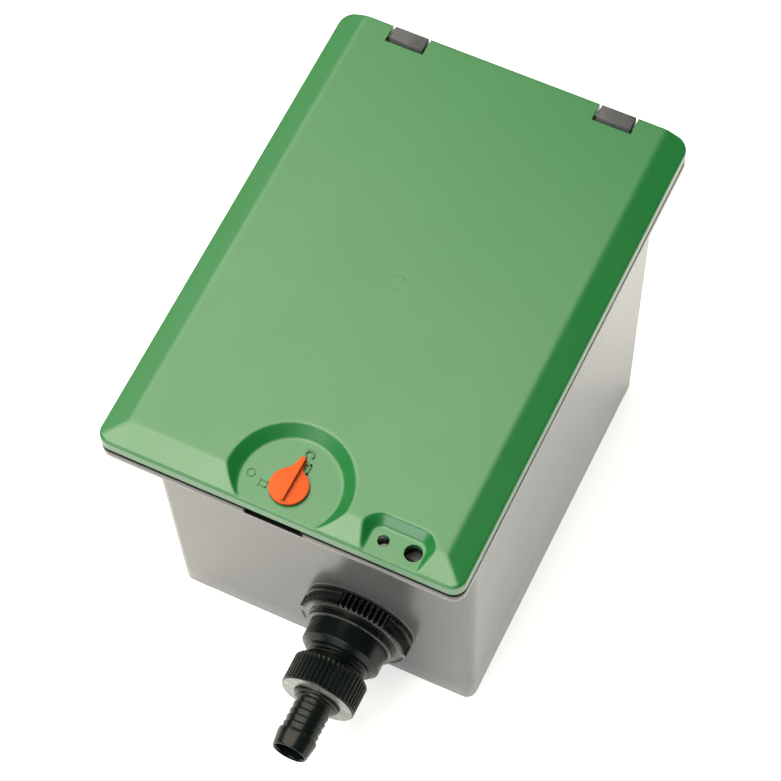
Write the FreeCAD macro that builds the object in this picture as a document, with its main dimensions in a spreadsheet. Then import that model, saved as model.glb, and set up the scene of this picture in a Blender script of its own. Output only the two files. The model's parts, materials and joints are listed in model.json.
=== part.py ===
"""Irrigation controller box: a lidded ground box with its valve, control module and pipe fittings.

Millimetres. The origin is the centre of the box's underside. +Z is up, the front wall with the
hose tail faces -Y and the lid's hinges are at +Y.
"""

import FreeCAD, Part

import math
import os

import Sketcher

SIZES = {
    # tub
    "base_half_width": 84.9, "base_front": 102.3, "base_back": 107.6,
    "mouth_half_width": 88.5, "mouth_front": 106.0, "mouth_back": 111.3,
    "wall": 3.0, "tub_corner": 5.5, "rim_top": 200.0, "rim_thick": 5.5,
    "pad_radius": 31.0, "front_pad_face": 104.0, "back_pad_face": 109.3, "pad_thick": 5.0,
    "notch_left": 17.0, "notch_right": 14.0, "notch_height": 3.3, "notch_deep": 9.0,
    "seal_inset": 0.2, "seal_width": 8.3, "seal_back": 123.0, "lining": 1.0,
    "drain_radius": 5.0, "rail_place": 20.0, "rail_screw_height": 150.0,
    # lid
    "lid_half_width": 95.0, "lid_half_depth": 133.65, "seal_thick": 3.0,
    "lip_height": 6.6, "bevel_height": 5.0, "bevel_run": 13.0,
    "corner_front": 7.0, "corner_back": 7.0, "lid_floor": 3.0,
    "knob_place": 118.5, "bowl_place": 117.7, "bowl_rim": 31.2, "bowl_floor": 24.8,
    "tray_middle": 58.1, "tray_half": 13.9, "tray_back": 118.0, "tray_draft": 4.6,
    "small_hole": 2.9, "big_hole": 4.4, "hole_row": 124.5, "small_hole_place": 51.6,
    "big_hole_place": 66.8,
    # hinges
    "hinge_middle": 56.6, "hinge_half": 9.35, "hinge_gap": 1.1, "block_reach": 4.9,
    "hinge_place": 129.4, "hinge_height": 209.5, "pin_radius": 1.5, "pin_half": 15.0,
    "block_chamfer": 1.6, "notch_reach": 6.2, "foot_half": 6.0, "foot_front": 126.0, "foot_back": 132.0,
    # lock
    "knob_disc": 9.65, "stem": 4.0, "latch_half": 11.0, "latch_hub": 3.4,
    "latch_low": 190.5, "latch_bar": 3.0, "slot_half": 4.2, "slot_reach": 12.2,
    # pipe line through the box
    "ring_band": 29.2, "pipe_place": 23.0, "pipe_height": 52.5, "thread_radius": 16.62, "shank": 21.5,
    "pipe_outer": 12.9, "sleeve_bore": 13.1, "flow_bore": 9.5,
    "valve_place": 5.0, "bowl_outer": 36.0, "chamber": 28.0, "seat_top": 70.0,
    "body_top": 78.0, "screw_circle": 32.5, "solenoid_offset": 12.0, "bonnet_top": 97.0,
    # control module
    "module_left": 74.5, "module_right": 30.0, "module_half": 45.0,
    "module_low": 93.0, "module_top": 165.0, "module_wall": 2.2,
    "bracket_back": 80.0, "bracket_face": 77.0, "bracket_half": 30.0,
    "cap_x": 52.25, "cap_y": 22.0, "cap_radius": 18.5, "cap_mouth": 16.5,
    "key_row": 37.0, "key_radius": 3.05,
    "window_left": 68.0, "window_right": 44.0, "window_front": 2.0, "window_back": 32.0,
    "cable_height": 118.0, "cable_place": 17.0, "cable_radius": 2.1,
}


class Size:
    """A length that carries its value and the formula tying it to the spreadsheet."""

    def __init__(self, value, formula):
        self.value = value
        self.formula = formula

    def __add__(self, other):
        other = size(other)
        return Size(self.value + other.value, f"({self.formula} + {other.formula})")

    def __sub__(self, other):
        other = size(other)
        return Size(self.value - other.value, f"({self.formula} - {other.formula})")

    def __mul__(self, factor):
        return Size(self.value * factor, f"({self.formula} * {factor})")

    def __neg__(self):
        return Size(-self.value, f"(0 - {self.formula})")

    __radd__ = __add__
    __rmul__ = __mul__

    def __rsub__(self, other):
        return size(other) - self


def size(number):
    """A plain number as a Size."""
    return number if isinstance(number, Size) else Size(float(number), repr(float(number)))


class Sheet:
    """The driving dimensions, read as attributes."""


doc = FreeCAD.newDocument("IrrigationControllerBox")
table = doc.addObject("Spreadsheet::Sheet", "Sizes")
dim = Sheet()
for row, (alias, number) in enumerate(SIZES.items(), start=1):
    table.set(f"A{row}", alias)
    table.set(f"B{row}", str(number))
    table.setAlias(f"B{row}", alias)
    setattr(dim, alias, Size(number, f"Sizes.{alias}"))
doc.recompute()

Vector = FreeCAD.Vector
NODES = []
FACING = {
    "+Z": FreeCAD.Rotation(),
    "-Y": FreeCAD.Rotation(Vector(1, 0, 0), 90),
    "+Y": FreeCAD.Rotation(Vector(1, 0, 0), -90),
    "+X": FreeCAD.Rotation(Vector(0, 1, 0), 90),
}


# ---------------------------------------------------------------- general helpers

def bind(item, prop, length):
    """Tie one property of an object to the spreadsheet."""
    item.setExpression(prop, size(length).formula)


def place(item, at, facing="+Z"):
    """Put an object at a point, with its local Z axis facing one way."""
    item.Placement = FreeCAD.Placement(Vector(*(size(v).value for v in at)), FACING[facing])
    for letter, length in zip("xyz", at):
        bind(item, f"Placement.Base.{letter}", length)


def node(item, name):
    """Name a finished sub-part and keep it for export."""
    item.Label = name
    NODES.append(item)
    return item


def box(x, y, z):
    """A block between two limits on each axis."""
    item = doc.addObject("Part::Box", "Block")
    for prop, (low, high) in zip(("Length", "Width", "Height"), (x, y, z)):
        bind(item, prop, size(high) - low)
    place(item, (x[0], y[0], z[0]))
    return item


def rod(radius, low, high, x=0.0, y=0.0, facing="+Z"):
    """A cylinder from low to high along its facing, standing at x, y (or x, height)."""
    item = doc.addObject("Part::Cylinder", "Rod")
    bind(item, "Radius", radius)
    bind(item, "Height", size(high) - low)
    spots = {"+Z": (x, y, low), "+Y": (x, low, y), "-Y": (x, -size(low), y), "+X": (low, x, y)}
    place(item, spots[facing], facing)
    return item


def cone(low_radius, high_radius, low, high, x, y):
    """A truncated cone standing at x, y."""
    item = doc.addObject("Part::Cone", "Cone")
    bind(item, "Radius1", low_radius)
    bind(item, "Radius2", high_radius)
    bind(item, "Height", size(high) - low)
    place(item, (x, y, low))
    return item


def fuse(*items):
    """The union of several solids."""
    item = doc.addObject("Part::MultiFuse", "Union")
    item.Shapes = list(items)
    item.Refine = True
    return item


def cut(base, *tools):
    """The base less one or more tools."""
    item = doc.addObject("Part::Cut", "Cut")
    item.Base = base
    item.Tool = tools[0] if len(tools) == 1 else group(*tools)
    item.Refine = True
    return item


def group(*items):
    """Several separate solids kept as one sub-part."""
    item = doc.addObject("Part::Compound", "Group")
    item.Links = list(items)
    return item


def sketch(body, plane="XY_Plane", offset=0.0):
    """A sketch on one of the body's own origin planes, moved along its normal."""
    item = body.newObject("Sketcher::SketchObject", "Sketch")
    support = [f for f in body.Origin.OriginFeatures if f.Role == plane][0]
    item.AttachmentSupport = [(support, "")]
    item.MapMode = "FlatFace"
    bind(item, "AttachmentOffset.Base.z", offset)
    return item


def dimension(item, kind, *where):
    """Add one dimension to a sketch, tied to the spreadsheet."""
    *where, length = where
    length = size(length)
    index = item.addConstraint(Sketcher.Constraint(kind, *where, length.value))
    item.setExpression(f"Constraints[{index}]", length.formula)


def outline(item, points):
    """A closed outline of straight lines through the points."""
    first = item.GeometryCount
    values = [(size(x), size(y)) for x, y in points]
    count = len(values)
    for i, (x, y) in enumerate(values):
        next_x, next_y = values[(i + 1) % count]
        start = Vector(x.value, y.value, 0)
        end = Vector(next_x.value, next_y.value, 0)
        item.addGeometry(Part.LineSegment(start, end))
    for i, (x, y) in enumerate(values):
        following = first + (i + 1) % count
        item.addConstraint(Sketcher.Constraint("Coincident", first + i, 2, following, 1))
        dimension(item, "DistanceX", -1, 1, first + i, 1, x)
        dimension(item, "DistanceY", -1, 1, first + i, 1, y)


def rounded(item, x, y, front_radius, back_radius):
    """A rectangle with one corner radius in front and another at the back."""
    (left, right), (front, back) = [(size(a), size(b)) for a, b in (x, y)]
    radii = [size(front_radius), size(back_radius), size(back_radius), size(front_radius)]
    x0, x1, y0, y1 = left.value, right.value, front.value, back.value
    near, far = radii[0].value, radii[1].value
    quarter = math.pi / 2
    for start, end in (
        ((x0 + near, y0), (x1 - near, y0)),
        ((x1, y0 + near), (x1, y1 - far)),
        ((x1 - far, y1), (x0 + far, y1)),
        ((x0, y1 - far), (x0, y0 + near)),
    ):
        item.addGeometry(Part.LineSegment(Vector(*start, 0), Vector(*end, 0)))
    centres = ((x1 - near, y0 + near), (x1 - far, y1 - far), (x0 + far, y1 - far), (x0 + near, y0 + near))
    for i, (centre, radius) in enumerate(zip(centres, radii)):
        circle = Part.Circle(Vector(*centre, 0), Vector(0, 0, 1), radius.value)
        item.addGeometry(Part.ArcOfCircle(circle, (i - 1) * quarter, i * quarter))
    for i in range(4):
        item.addConstraint(Sketcher.Constraint("Tangent", i, 2, 4 + i, 1))
        item.addConstraint(Sketcher.Constraint("Tangent", 4 + i, 2, (i + 1) % 4, 1))
        item.addConstraint(Sketcher.Constraint("Vertical" if i % 2 else "Horizontal", i))
        dimension(item, "Radius", 4 + i, radii[i])
    dimension(item, "DistanceX", -1, 1, 3, 1, left)
    dimension(item, "DistanceX", -1, 1, 1, 1, right)
    dimension(item, "DistanceY", -1, 1, 0, 1, front)
    dimension(item, "DistanceY", -1, 1, 2, 1, back)


def feature(body, kind, profile, **settings):
    """A pad, pocket, loft or revolution from a sketch, checked to change the solid."""
    before = body.Shape.Volume if body.Tip else 0.0
    item = body.newObject(f"PartDesign::{kind}", kind)
    item.Profile = profile
    for prop, setting in settings.items():
        if isinstance(setting, (Size, float)):
            bind(item, prop, setting)
        else:
            setattr(item, prop, setting)
    doc.recompute()
    if abs(body.Shape.Volume - before) < 1e-6:
        raise RuntimeError(f"{body.Label}: {item.Name} changed nothing")
    return item


def new_body():
    """An empty PartDesign body."""
    return doc.addObject("PartDesign::Body", "Body")


def turned(profile, at, facing="+Z"):
    """A body turned about its local Z axis from a profile of (radius, height) points."""
    body = new_body()
    item = sketch(body, "XZ_Plane")
    outline(item, profile)
    feature(body, "Revolution", item, ReferenceAxis=(item, ["V_Axis"]), Angle=360.0)
    place(body, at, facing)
    return body


def tube(inner, outer, low, high):
    """The profile of a plain ring or tube."""
    return [(inner, low), (outer, low), (outer, high), (inner, high)]


def ribbed(body, outer, depth, low, high, count):
    """Cut evenly spaced grooves along a turned body's outside."""
    item = sketch(body, "XY_Plane", low)
    half = math.pi * outer.value / count / 2
    outline(item, [(outer - depth, -half), (outer + 1.0, -half), (outer + 1.0, half), (outer - depth, half)])
    groove = feature(body, "Pocket", item, Length=size(high) - low, Reversed=True)
    pattern = body.newObject("PartDesign::PolarPattern", "Grooves")
    pattern.Originals = [groove]
    pattern.Axis = (item, ["N_Axis"])
    pattern.Angle = 360.0
    pattern.Occurrences = count
    body.Tip = pattern
    doc.recompute()


def coil(radius, wire, low, high, turns, x, y):
    """A helical spring standing at x, y between two heights."""
    helix = doc.addObject("Part::Helix", "Helix")
    bind(helix, "Radius", radius)
    bind(helix, "Height", size(high) - low - wire * 2.2)
    bind(helix, "Pitch", (size(high) - low - wire * 2.2) * (1.0 / turns))
    section = doc.addObject("Part::Circle", "Section")
    bind(section, "Radius", wire)
    section.Placement = FreeCAD.Placement(Vector(radius, 0, 0), FreeCAD.Rotation(Vector(1, 0, 0), 90))
    item = doc.addObject("Part::Sweep", "Spring")
    item.Sections = [section]
    item.Spine = (helix, ["Edge1"])
    item.Solid = True
    item.Frenet = True
    place(item, (x, y, size(low) + wire * 1.1))
    return item


# ---------------------------------------------------------------- tub

LID_LOW = dim.rim_top + dim.seal_thick
LIP_TOP = LID_LOW + dim.lip_height
LID_TOP = LIP_TOP + dim.bevel_height
RIM_LOW = dim.rim_top - dim.rim_thick


def drafted(body, kind, low, high, inset, plan_low, plan_high, corner):
    """A loft between two rounded plans, each given as (half width, front, back)."""
    sections = []
    for level, (half, front, back) in ((low, plan_low), (high, plan_high)):
        item = sketch(body, "XY_Plane", level)
        rounded(item, (inset - half, half - inset), (inset - front, back - inset), corner, corner)
        sections.append(item)
    feature(body, kind, sections[0], Sections=[sections[1]], Ruled=True)


def make_tub():
    body = new_body()
    base = (dim.base_half_width, dim.base_front, dim.base_back)
    mouth = (dim.mouth_half_width, dim.mouth_front, dim.mouth_back)
    drafted(body, "AdditiveLoft", 0.0, dim.rim_top, size(0.0), base, mouth, dim.tub_corner)
    rim = sketch(body, "XY_Plane", RIM_LOW)
    half, depth = dim.lid_half_width, dim.lid_half_depth
    rounded(rim, (-half, half), (-depth, depth), dim.corner_front, dim.corner_back)
    feature(body, "Pad", rim, Length=dim.rim_thick)
    drafted(body, "SubtractiveLoft", dim.wall, dim.rim_top, dim.wall, base, mouth, dim.tub_corner - dim.wall)

    pads = [
        rod(dim.pad_radius, dim.front_pad_face - dim.pad_thick, dim.front_pad_face,
            dim.pipe_place, dim.pipe_height, "-Y"),
        rod(dim.pad_radius, dim.back_pad_face - dim.pad_thick, dim.back_pad_face,
            dim.pipe_place, dim.pipe_height, "+Y"),
    ]
    rail_rows = (-dim.rail_place, dim.rail_place)
    rails = [box((-86.0, -dim.bracket_back), (y - 4.0, y + 4.0), (95.0, 160.0)) for y in rail_rows]
    gussets = [gusset(x, -1) for x in (-62.0, -34.0, 34.0, 80.0)]
    gussets += [gusset(x, 1) for x in (-80.0, 0.0, 80.0)]
    bore = rod(dim.shank + 0.1, -130.0, 130.0, dim.pipe_place, dim.pipe_height, "+Y")
    slot = box((-dim.slot_reach, dim.slot_reach),
               (-dim.knob_place - dim.slot_half, -dim.knob_place + dim.slot_half),
               (RIM_LOW - 1.0, dim.rim_top + 1.0))
    notch = finger_notch(0.0, -dim.lid_half_depth - 1.0, dim.rim_top - dim.notch_height, dim.rim_top + 1.0)
    tether = rod(dim.small_hole, RIM_LOW - 1.0, dim.rim_top + 1.0, dim.small_hole_place, -dim.hole_row)
    drains = [rod(dim.drain_radius, -1.0, dim.wall + 1.0, x, y)
              for x in (-55.0, 60.0) for y in (-75.0, 20.0, 80.0)]
    feet = [hinge_foot(x, RIM_LOW - 1.0) for x in (-dim.hinge_middle, dim.hinge_middle)]
    screws = [rod(1.5, -84.0, -79.0, y, dim.rail_screw_height, "+X") for y in rail_rows]
    whole = fuse(body, *pads, *rails, *gussets)
    node(cut(whole, bore, slot, notch, tether, *drains, *feet, *screws), "tub")


def hinge_foot(x, low):
    """The part of a hinge block that stands in the rim."""
    return box((x - dim.foot_half, x + dim.foot_half), (dim.foot_front, dim.foot_back),
               (low, dim.rim_top + 1.0))


def finger_notch(inset, front, low, high):
    """The recess for a fingertip in the middle of the front edge, less an inset on three sides."""
    return box((-dim.notch_left + inset, dim.notch_right - inset),
               (front, -dim.lid_half_depth + dim.notch_deep - inset), (low, high))


def gusset(x, side):
    """A triangular rib under the rim, in front (-1) or at the back (+1)."""
    body = new_body()
    item = sketch(body, "YZ_Plane")
    wall_face = -dim.mouth_front + 1.0 if side < 0 else dim.mouth_back - 1.0
    tip = -dim.lid_half_depth + 4.0 if side < 0 else dim.lid_half_depth - 4.0
    outline(item, [(wall_face, RIM_LOW + 0.5), (tip, RIM_LOW + 0.5), (tip, RIM_LOW - 2.0),
                   (wall_face, RIM_LOW - 24.0)])
    feature(body, "Pad", item, Length=2.4)
    place(body, (x, 0.0, 0.0))
    return body


def make_rim_seal():
    body = new_body()
    for kind, inset, corner in (("Pad", dim.seal_inset, dim.corner_front - dim.seal_inset),
                                ("Pocket", dim.seal_inset + dim.seal_width, size(2.0))):
        item = sketch(body, "XY_Plane")
        half, front = dim.lid_half_width - inset, dim.lid_half_depth - inset
        back = dim.seal_back + dim.seal_inset - inset
        rounded(item, (-half, half), (-front, back), corner, corner)
        feature(body, kind, item, Length=dim.seal_thick, Reversed=(kind == "Pocket"))
    place(body, (0.0, 0.0, dim.rim_top))
    notch_low = dim.rim_top - dim.notch_height
    lining = finger_notch(0.0, -dim.lid_half_depth + dim.seal_inset, notch_low, LID_LOW)
    hollow = finger_notch(dim.lining, -dim.lid_half_depth - 1.0, notch_low + dim.lining, LID_LOW + 1.0)
    tether = rod(dim.small_hole, dim.rim_top - 1.0, LID_LOW + 1.0, dim.small_hole_place, -dim.hole_row)
    node(cut(fuse(body, lining), hollow, tether), "rim_seal")


# ---------------------------------------------------------------- lid and hinges

def make_lid():
    body = new_body()
    half, depth, run = dim.lid_half_width, dim.lid_half_depth, dim.bevel_run
    lip = sketch(body, "XY_Plane", LID_LOW)
    rounded(lip, (-half, half), (-depth, depth), dim.corner_front, dim.corner_back)
    feature(body, "Pad", lip, Length=dim.lip_height)
    lower = sketch(body, "XY_Plane", LIP_TOP)
    rounded(lower, (-half, half), (-depth, depth), dim.corner_front, dim.corner_back)
    upper = sketch(body, "XY_Plane", LID_TOP)
    rounded(upper, (run - half, half - run), (run - depth, depth), 2.0, 2.0)
    feature(body, "AdditiveLoft", lower, Sections=[upper], Ruled=True)

    hollow_top = LIP_TOP - dim.lid_floor
    shallow = box((7.0 - half, half - 7.0), (7.0 - depth, 119.0), (LID_LOW - 1.0, hollow_top))
    cells = [box((x, x + 78.7), (y, y + 47.5), (hollow_top - 1.0, LID_TOP - dim.lid_floor))
             for x in (-80.0, 1.3) for y in (-82.0, -31.8, 18.4, 68.6)]
    bowl = cone(dim.bowl_floor, dim.bowl_rim + 0.64, LIP_TOP, LID_TOP + 0.5, 0.0, -dim.bowl_place)
    tray = doc.addObject("Part::Wedge", "Tray")
    slope = dim.tray_draft
    limits = {
        "Xmin": dim.tray_middle - dim.tray_half, "Xmax": dim.tray_middle + dim.tray_half,
        "X2min": dim.tray_middle - dim.tray_half - slope, "X2max": dim.tray_middle + dim.tray_half + slope,
        "Ymin": LIP_TOP, "Ymax": LID_TOP + 0.2,
        "Zmin": dim.tray_back, "Z2min": dim.tray_back - slope - 1.0,
        "Zmax": depth + 1.0, "Z2max": depth + 1.0,
    }
    for prop, length in limits.items():
        bind(tray, prop, length)
    tray.Placement = FreeCAD.Placement(Vector(), FACING["-Y"])

    notches = [box((x - dim.hinge_half - dim.hinge_gap, x + dim.hinge_half + dim.hinge_gap),
                   (dim.hinge_place - dim.notch_reach, depth + 1.0), (LID_LOW - 1.0, LID_TOP + 1.0))
               for x in (-dim.hinge_middle, dim.hinge_middle)]
    pins = [rod(dim.pin_radius + 0.06, x - dim.pin_half - 0.3, x + dim.pin_half + 0.3,
                dim.hinge_place, dim.hinge_height, "+X")
            for x in (-dim.hinge_middle, dim.hinge_middle)]
    holes = [
        rod(dim.stem + 0.08, LID_LOW, LIP_TOP + 1.0, 0.0, -dim.knob_place),
        rod(dim.small_hole, LID_LOW, LIP_TOP + 1.0, dim.small_hole_place, -dim.hole_row),
        rod(dim.big_hole, LID_LOW, LIP_TOP + 1.0, dim.big_hole_place, -dim.hole_row),
    ]
    node(cut(body, shallow, *cells, bowl, tray, *notches, *pins, *holes), "lid")


def make_hinges():
    near, top = dim.hinge_place - dim.block_reach, dim.hinge_height + dim.block_reach
    for side, x in (("left", -dim.hinge_middle), ("right", dim.hinge_middle)):
        body = new_body()
        item = sketch(body, "YZ_Plane")
        outline(item, [(near, dim.rim_top), (dim.lid_half_depth, dim.rim_top), (dim.lid_half_depth, top),
                       (near + dim.block_chamfer, top), (near, top - dim.block_chamfer)])
        feature(body, "Pad", item, Length=dim.hinge_half * 2)
        place(body, (x - dim.hinge_half, 0.0, 0.0))
        hole = rod(dim.pin_radius, x - dim.hinge_half - 1.0, x + dim.hinge_half + 1.0,
                   dim.hinge_place, dim.hinge_height, "+X")
        node(cut(fuse(body, hinge_foot(x, RIM_LOW)), hole), f"hinge_block_{side}")
        pin = rod(dim.pin_radius, x - dim.pin_half, x + dim.pin_half,
                  dim.hinge_place, dim.hinge_height, "+X")
        node(pin, f"hinge_pin_{side}")


# ---------------------------------------------------------------- quarter-turn lock

def make_lock():
    at = (0.0, -dim.knob_place, 0.0)
    low = LIP_TOP + 0.1
    disc = turned([(0.0, LIP_TOP - 4.6), (dim.stem - 1.2, LIP_TOP - 4.6), (dim.stem - 1.2, LIP_TOP - 2.8),
                   (dim.stem, LIP_TOP - 2.8), (dim.stem, low), (dim.knob_disc, low),
                   (dim.knob_disc, low + 2.0), (0.0, low + 2.0)], at)
    grip = new_body()
    item = sketch(grip, "XY_Plane", low + 1.0)
    outline(item, [(-2.4, -7.5), (2.4, -7.5), (1.5, 16.0), (-1.5, 16.0)])
    feature(grip, "Pad", item, Length=3.6)
    place(grip, (0.0, -dim.knob_place, 0.0))
    bore = rod(1.2, LIP_TOP - 5.6, LIP_TOP + 0.6, 0.0, -dim.knob_place)
    node(cut(fuse(disc, grip), bore), "lock_knob")

    ring = doc.addObject("Part::Torus", "Ring")
    bind(ring, "Radius1", dim.stem - 0.6)
    ring.Radius2 = 0.55
    place(ring, (0.0, -dim.knob_place, LIP_TOP - 3.45))
    node(ring, "knob_o_ring")

    top = LIP_TOP - 4.6
    hub = turned([(1.2, dim.latch_low + 2.0), (dim.latch_hub, dim.latch_low + 2.0), (dim.latch_hub, top - 2.5),
                  (dim.stem + 1.6, top - 2.5), (dim.stem + 1.6, top), (1.2, top)], at)
    bar = box((-dim.latch_half, dim.latch_half), (-dim.knob_place - 3.0, -dim.knob_place + 3.0),
              (dim.latch_low, dim.latch_low + dim.latch_bar))
    sink = rod(1.2, dim.latch_low - 1.0, dim.latch_low + 5.0, 0.0, -dim.knob_place)
    node(cut(fuse(hub, bar), sink), "lock_latch")
    shaft = rod(1.2, dim.latch_low, LIP_TOP + 0.4, 0.0, -dim.knob_place)
    head = rod(2.6, dim.latch_low - 2.0, dim.latch_low, 0.0, -dim.knob_place)
    node(fuse(shaft, head), "latch_screw")


# ---------------------------------------------------------------- pipe fittings

def on_pipe(name, profile, facing="-Y"):
    """A turned piece on the pipe line, its heights measured from y = 0."""
    body = turned(profile, (dim.pipe_place, 0.0, dim.pipe_height), facing)
    return node(body, name) if name else body


def make_outlet():
    face = dim.front_pad_face
    shank, thread, bore, band = dim.shank, dim.thread_radius, dim.sleeve_bore, dim.ring_band
    on_pipe("outlet_gasket", tube(shank + 0.2, 26.2, face, face + 1.5))
    ring = on_pipe("lock_ring", [
        (shank + 0.08, face + 1.5), (30.1, face + 1.5), (30.1, face + 3.0), (band, face + 3.2),
        (band, face + 8.9), (24.4, face + 8.9), (24.4, face + 9.9), (23.2, face + 10.4),
        (23.2, face + 11.2), (24.2, face + 11.8), (24.2, face + 13.2), (shank + 0.08, face + 13.2)])
    ribbed(ring, band, 1.0, face + 4.0, face + 8.9, 60)
    inner = dim.front_pad_face - dim.pad_thick
    on_pipe("outlet_sleeve", [
        (bore, 80.0), (17.0, 80.0), (17.0, inner - 3.5), (28.0, inner - 3.5), (28.0, inner),
        (shank, inner), (shank, 127.6), (18.2, 130.0), (thread, 130.4), (thread, 147.5), (11.5, 147.5),
        (11.5, 128.0), (bore, 128.0)])
    on_pipe("outlet_pipe", [
        (10.4, 62.5), (15.6, 62.5), (15.6, 65.5), (dim.pipe_outer, 65.5), (dim.pipe_outer, 84.0),
        (11.4, 84.0), (11.4, 86.4), (dim.pipe_outer, 86.4), (dim.pipe_outer, 112.0), (10.4, 112.0)])
    on_pipe("pipe_o_ring", tube(11.45, 13.0, 84.3, 86.1))
    nut = on_pipe("hose_nut", [
        (thread + 0.08, 136.6), (19.4, 136.6), (20.2, 137.6), (20.2, 153.0), (19.6, 153.8), (12.68, 153.8),
        (12.68, 151.3), (thread + 0.08, 151.3)])
    ribbed(nut, size(20.2), 0.6, 138.6, 153.0, 48)
    on_pipe("hose_gasket", tube(10.0, 15.6, 147.5, 149.0))
    tail = [(8.0, 149.0), (15.6, 149.0), (15.6, 151.2), (12.6, 151.2), (12.6, 155.2), (11.2, 155.8),
            (11.2, 157.0), (9.6, 157.4), (9.2, 160.0)]
    for i in range(4):
        step = 160.6 + 3.75 * i
        tail += [(9.9, step), (9.2, step + 2.8), (9.2, step + 3.0)]
    tail += [(9.2, 175.0), (10.6, 175.4), (10.6, 177.6), (9.4, 185.2), (8.6, 185.2), (8.0, 184.2)]
    on_pipe("hose_tail", tail)


def make_inlet():
    face = dim.back_pad_face
    inner = face - dim.pad_thick
    thread, shank = dim.thread_radius, dim.shank
    on_pipe("inlet_gasket", tube(shank + 0.2, 28.0, inner - 1.5, inner), "+Y")
    on_pipe("inlet_pipe", [
        (dim.flow_bore, 72.5), (15.6, 72.5), (15.6, 75.5), (dim.pipe_outer, 75.5),
        (dim.pipe_outer, inner - 6.5), (28.0, inner - 5.0), (28.0, inner - 1.5), (shank, inner - 1.5),
        (shank, 119.0), (thread, 119.4), (thread, 134.5), (12.0, 134.5), (12.0, 100.0),
        (dim.flow_bore, 97.5)], "+Y")
    nut = on_pipe("inlet_lock_nut", tube(shank + 0.08, 29.0, face, face + 8.0), "+Y")
    ribbed(nut, size(29.0), 1.8, face, face + 8.0, 12)
    on_pipe("inlet_strainer", [(0.0, 101.5), (6.0, 101.5), (11.0, 130.0), (11.9, 130.0), (11.9, 132.0),
                               (10.2, 132.0), (10.2, 130.8), (5.2, 102.4), (0.0, 102.4)], "+Y")


# ---------------------------------------------------------------- valve

def make_valve():
    x, y, height, bore = dim.pipe_place, dim.valve_place, dim.pipe_height, dim.flow_bore
    run = rod(dim.thread_radius, -61.0, 71.0, x, height, "+Y")
    bowl = rod(dim.bowl_outer, height - 7.5, dim.body_top, x, y)
    foot = cone(20.0, dim.bowl_outer, height - 18.5, height - 7.5, x, y)
    chamber = cut(rod(dim.chamber, height + 7.5, dim.body_top + 1.0, x, y),
                  rod(13.0, height + 6.5, dim.seat_top, x, y))
    seat_way = rod(bore, height, dim.seat_top + 1.0, x, y)
    out_way = rod(bore, -62.0, y, x, height, "+Y")
    in_way = rod(bore, y + 15.0, 72.0, x, height, "+Y")
    rise = rod(5.5, height, height + 9.0, x, y + 20.5)
    holes = [rod(1.4, dim.body_top - 12.0, dim.body_top + 1.0, *spot) for spot in screw_spots()]
    node(cut(fuse(run, bowl, foot), chamber, seat_way, out_way, in_way, rise, *holes), "valve_body")

    for name, facing, start in (("valve_outlet_nut", "-Y", 48.0), ("valve_inlet_nut", "+Y", 58.0)):
        nut = on_pipe(name, [
            (dim.thread_radius + 0.08, start), (21.0, start), (21.0, start + 20.0),
            (dim.pipe_outer + 0.1, start + 20.0), (dim.pipe_outer + 0.1, start + 17.6),
            (dim.thread_radius + 0.08, start + 17.6)], facing)
        ribbed(nut, size(21.0), 1.5, start, start + 20.0, 12)
    on_pipe("outlet_washer", tube(10.4, 15.6, 61.0, 62.5))
    on_pipe("inlet_washer", tube(10.4, 15.6, 71.0, 72.5), "+Y")

    plate = box((x - 22.0, x + 22.0), (-48.0, 58.0), (dim.wall, dim.wall + 3.0))
    saddles = [box((x - 19.0, x + 19.0), (low, low + 6.0), (dim.wall + 2.0, height))
               for low in (-44.0, 48.0)]
    groove = rod(dim.thread_radius, -50.0, 60.0, x, height, "+Y")
    node(cut(fuse(plate, *saddles), groove), "valve_cradle")


def screw_spots():
    """Where the six bonnet screws stand."""
    reach = dim.screw_circle
    turns = [math.radians(30 + 60 * i) for i in range(6)]
    return [(dim.pipe_place + reach * math.cos(a), dim.valve_place + reach * math.sin(a)) for a in turns]


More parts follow.
